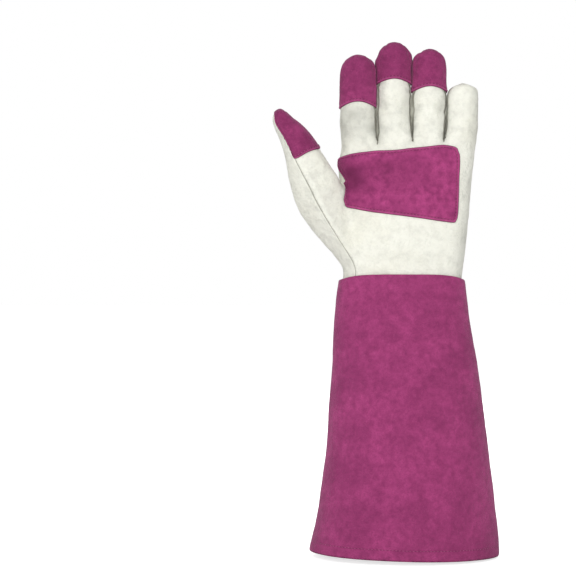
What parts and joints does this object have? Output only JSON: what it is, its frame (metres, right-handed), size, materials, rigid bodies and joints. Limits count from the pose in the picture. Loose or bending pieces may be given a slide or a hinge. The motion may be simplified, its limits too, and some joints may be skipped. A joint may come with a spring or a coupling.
{
  "type": "gardening gauntlet glove",
  "caption": "Long pruning gauntlet for the left hand: cream leather hand, suede caps over finger tips, suede palm patch and long flared suede cuff with gathered wrist.",
  "frame": {"origin": "middle of the cuff's open hem, where the arm goes in and by which the glove is held up", "axes": "+Z from the hem to the finger tips, -Y the way the palm faces, -X the side of the thumb"},
  "size_m": [0.2086, 0.106, 0.4705],
  "materials": {
    "cream_leather": "soft grain leather, matt",
    "rose_suede": "brushed suede, dull nap"
  },
  "bodies": {
    "root": {"back_panel": "cream_leather", "fourchette_index_middle": "cream_leather", "fourchette_middle_ring": "cream_leather", "fourchette_ring_little": "cream_leather", "palm_panel": "cream_leather", "thumb_back": "cream_leather", "index_cap": "rose_suede", "middle_cap": "rose_suede", "ring_cap": "rose_suede", "thumb_cap": "rose_suede", "palm_patch": "rose_suede", "cuff": "rose_suede"}
  },
  "joints": []
}
